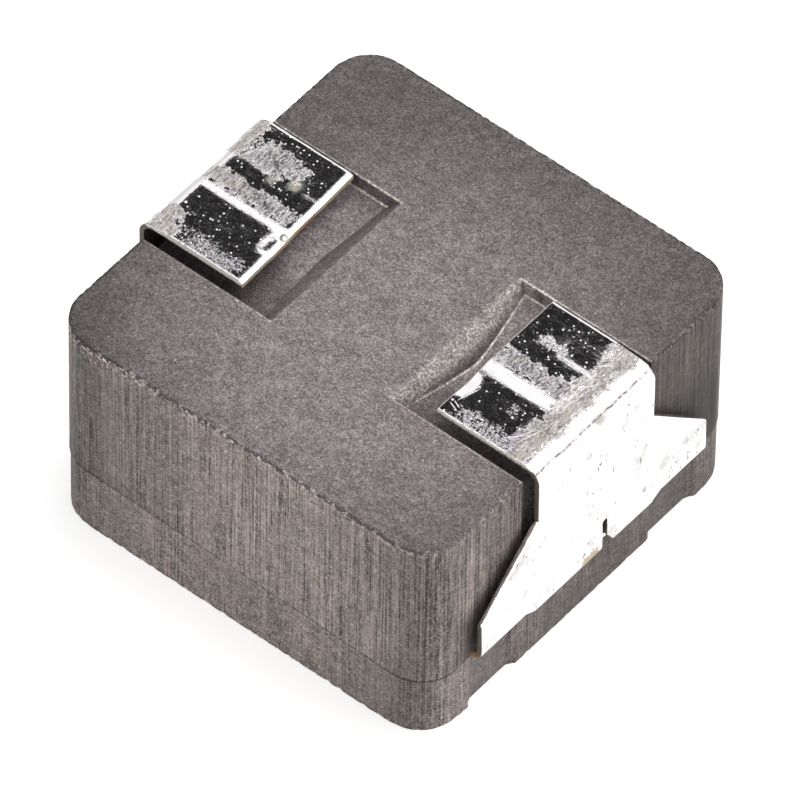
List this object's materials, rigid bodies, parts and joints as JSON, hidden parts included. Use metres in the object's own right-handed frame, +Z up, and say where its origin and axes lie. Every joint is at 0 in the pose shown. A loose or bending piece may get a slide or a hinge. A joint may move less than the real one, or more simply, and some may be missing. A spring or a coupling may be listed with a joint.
{
  "type": "moulded power inductor",
  "caption": "Square moulded surface-mount power inductor: a pressed iron-powder block over a flat-wire coil, with two folded tinned leads, shown solder side up.",
  "frame": {"origin": "centre of the plain face that the part lies on here, which is the top when it is soldered to a board", "axes": "+X from the finish lead to the start lead, +Y along the pads' width, +Z up out of the solder face"},
  "size_m": [0.0234, 0.022, 0.0132],
  "materials": {
    "pressed_powder": "matt pressed iron powder, sandy, with fine upright drag marks on the sides",
    "enamelled_copper": "copper flat wire under clear enamel",
    "tinned_copper": "bright tin plate over copper, scuffed, bare copper on the cut ends"
  },
  "bodies": {
    "root": {"powder_body": "pressed_powder", "winding": "enamelled_copper", "start_terminal": "tinned_copper", "finish_terminal": "tinned_copper"}
  },
  "joints": []
}
